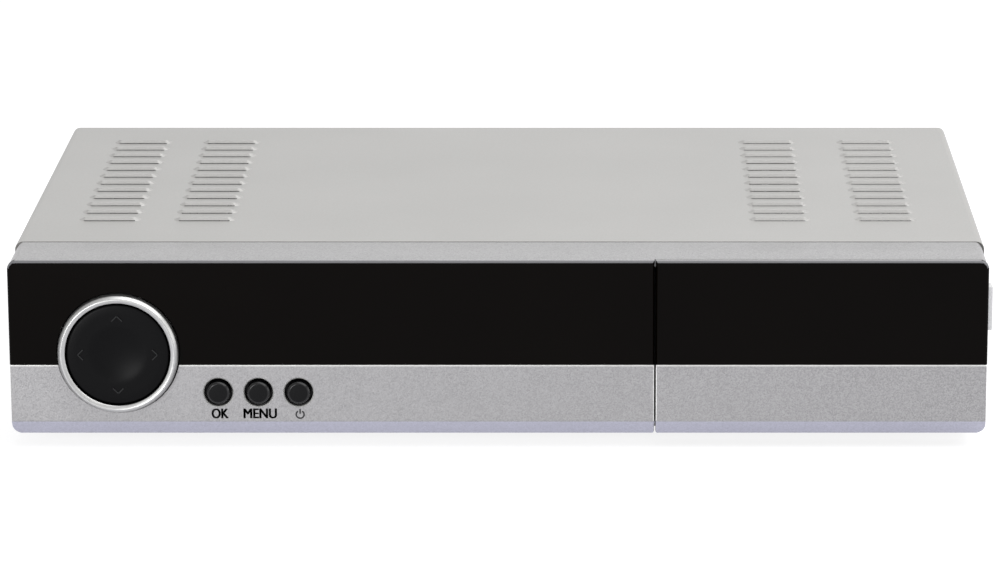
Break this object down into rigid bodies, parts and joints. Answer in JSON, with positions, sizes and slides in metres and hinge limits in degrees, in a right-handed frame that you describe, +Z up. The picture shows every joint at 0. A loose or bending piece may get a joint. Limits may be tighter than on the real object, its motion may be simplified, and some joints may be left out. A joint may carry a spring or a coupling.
{
  "type": "satellite television receiver",
  "caption": "Slim silver satellite TV receiver with a black window, a four-way pad in a ring, push buttons, a hinged flap and a louvred steel cover.",
  "frame": {"origin": "on the table under the middle of the whole receiver, connectors and screw heads included", "axes": "+X to the right as the front is seen, +Y to the back, +Z up"},
  "size_m": [0.2648, 0.1812, 0.053],
  "materials": {
    "silver_moulding": "metallic silver paint on moulded plastic",
    "black_window": "polished dark acrylic",
    "ring_silver": "satin plated plastic",
    "key_black": "fine matt black plastic",
    "cover_paint": "light silver-grey paint on sheet steel",
    "zinc_sheet": "zinc-plated sheet steel",
    "rubber_black": "matt rubber",
    "screw_steel": "zinc-plated screws",
    "board_green": "solder mask over glass fibre",
    "board_tan": "paper phenolic board",
    "inner_black": "moulded black plastic",
    "chip_black": "moulded chip package",
    "header_white": "natural nylon",
    "tinned_steel": "tinned steel screening",
    "nickel_brass": "nickel-plated brass",
    "heatsink_aluminium": "black anodised aluminium",
    "can_sleeve": "shrink sleeve on an aluminium can",
    "ferrite": "ferrite",
    "tape_yellow": "polyester tape over the winding",
    "fuse_glass": "glass tube with metal caps",
    "display_grey": "filled display face",
    "lens_dark": "infrared filter plastic",
    "lamp_red": "tinted epoxy",
    "ribbon_grey": "grey ribbon insulation",
    "lead_colour": "coloured lead insulation"
  },
  "bodies": {
    "receiver": {"front_panel": "silver_moulding", "display_window": "black_window", "nav_ring": "ring_silver", "top_cover": "cover_paint", "base_chassis": "zinc_sheet", "rear_panel": "zinc_sheet", "rubber_feet": "rubber_black", "cover_screws": "screw_steel", "board_screws": "screw_steel", "front_board": "board_tan", "key_switches": "inner_black", "display_module": "display_grey", "infrared_receiver": "lens_dark", "standby_lamp": "lamp_red", "main_board": "board_green", "power_board": "board_tan", "board_standoffs": "nickel_brass", "main_processor": "chip_black", "processor_heatsink": "heatsink_aluminium", "memory_chips": "chip_black", "power_inductors": "ferrite", "main_capacitors": "can_sleeve", "card_reader": "inner_black", "usb_socket": "tinned_steel", "tuner_can": "tinned_steel", "f_connectors": "nickel_brass", "f_nuts": "nickel_brass", "hdmi_socket": "tinned_steel", "optical_socket": "inner_black", "network_jack": "tinned_steel", "av_block": "inner_black", "av_sleeves": "nickel_brass", "serial_socket": "tinned_steel", "transformer_core": "ferrite", "transformer_winding": "tape_yellow", "mains_choke": "inner_black", "primary_capacitor": "can_sleeve", "output_capacitors": "can_sleeve", "mains_fuse": "fuse_glass", "mains_inlet": "inner_black", "inlet_pins": "nickel_brass", "switch_frame": "inner_black", "board_headers": "header_white", "ribbon_cable": "ribbon_grey", "internal_leads": "lead_colour"},
    "flap": {"door_flap": "silver_moulding", "door_window": "black_window"},
    "pad_gimbal": {"nav_gimbal": "inner_black"},
    "pad": {"nav_pad": "key_black"},
    "ok_key_body": {"ok_button": "key_black", "ok_key": "key_black"},
    "menu_key_body": {"menu_button": "key_black", "menu_key": "key_black"},
    "power_key_body": {"power_button": "key_black", "power_key": "key_black"},
    "up_plunger": {"up_key": "key_black"},
    "down_plunger": {"down_key": "key_black"},
    "left_plunger": {"left_key": "key_black"},
    "right_plunger": {"right_key": "key_black"},
    "rocker": {"switch_rocker": "inner_black"}
  },
  "joints": [
    {"name": "flap_hinge", "type": "hinge", "parent": "receiver", "child": "flap", "pos_m": [0, -0.0822, 0.0072], "axis": [1, 0, 0], "range_deg": [0, 90]},
    {"name": "pad_tilt_up_down", "type": "hinge", "parent": "receiver", "child": "pad_gimbal", "pos_m": [-0.10115, -0.08395, 0.02695], "axis": [1, 0, 0], "range_deg": [-1.8, 1.8], "stiffness_Nm_per_rad": 0.38},
    {"name": "pad_tilt_left_right", "type": "hinge", "parent": "pad_gimbal", "child": "pad", "pos_m": [-0.10115, -0.08395, 0.02695], "axis": [0, 0, 1], "range_deg": [-1.8, 1.8], "stiffness_Nm_per_rad": 0.38},
    {"name": "ok_push", "type": "slide", "parent": "receiver", "child": "ok_key_body", "axis": [0, 1, 0], "range_m": [0, 0.00025], "stiffness_N_per_m": 6000},
    {"name": "menu_push", "type": "slide", "parent": "receiver", "child": "menu_key_body", "axis": [0, 1, 0], "range_m": [0, 0.00025], "stiffness_N_per_m": 6000},
    {"name": "power_push", "type": "slide", "parent": "receiver", "child": "power_key_body", "axis": [0, 1, 0], "range_m": [0, 0.00025], "stiffness_N_per_m": 6000},
    {"name": "up_plunger_slide", "type": "slide", "parent": "receiver", "child": "up_plunger", "axis": [0, 1, 0], "range_m": [-0.00026, 0.00026]},
    {"name": "down_plunger_slide", "type": "slide", "parent": "receiver", "child": "down_plunger", "axis": [0, 1, 0], "range_m": [-0.00026, 0.00026]},
    {"name": "left_plunger_slide", "type": "slide", "parent": "receiver", "child": "left_plunger", "axis": [0, 1, 0], "range_m": [-0.00026, 0.00026]},
    {"name": "right_plunger_slide", "type": "slide", "parent": "receiver", "child": "right_plunger", "axis": [0, 1, 0], "range_m": [-0.00026, 0.00026]},
    {"name": "rocker_hinge", "type": "hinge", "parent": "receiver", "child": "rocker", "pos_m": [-0.077, 0.08, 0.0244], "axis": [1, 0, 0], "range_deg": [-16, 0]}
  ],
  "couplings": [
    {"joint": "up_plunger_slide", "follows": "pad_tilt_up_down", "m_per_rad": -0.008},
    {"joint": "down_plunger_slide", "follows": "pad_tilt_up_down", "m_per_rad": 0.008},
    {"joint": "left_plunger_slide", "follows": "pad_tilt_left_right", "m_per_rad": -0.008},
    {"joint": "right_plunger_slide", "follows": "pad_tilt_left_right", "m_per_rad": 0.008}
  ]
}
